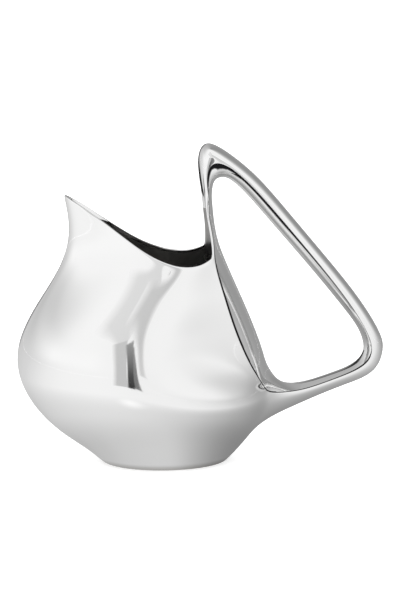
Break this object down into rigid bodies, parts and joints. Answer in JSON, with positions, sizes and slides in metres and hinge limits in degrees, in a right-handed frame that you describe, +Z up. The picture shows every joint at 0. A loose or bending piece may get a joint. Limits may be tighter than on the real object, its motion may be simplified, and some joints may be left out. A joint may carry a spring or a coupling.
{
  "type": "cream jug",
  "caption": "Small oval silver cream jug with a pinched pouring spout and a hollow triangular loop handle that rises from a narrow back strap.",
  "frame": {"origin": "centre of the bounding box in plan, on the surface the jug stands on", "axes": "+X towards the handle, -X towards the spout, +Z up; the jug is symmetric about the XZ plane"},
  "size_m": [0.1252, 0.066, 0.1093],
  "materials": {
    "polished_silver": "polished",
    "base_silver": "satin"
  },
  "bodies": {
    "root": {"body_shell": "polished_silver", "base_plate": "base_silver", "handle_left_cheek": "polished_silver", "handle_right_cheek": "polished_silver", "handle_inner_band": "polished_silver"}
  },
  "joints": []
}
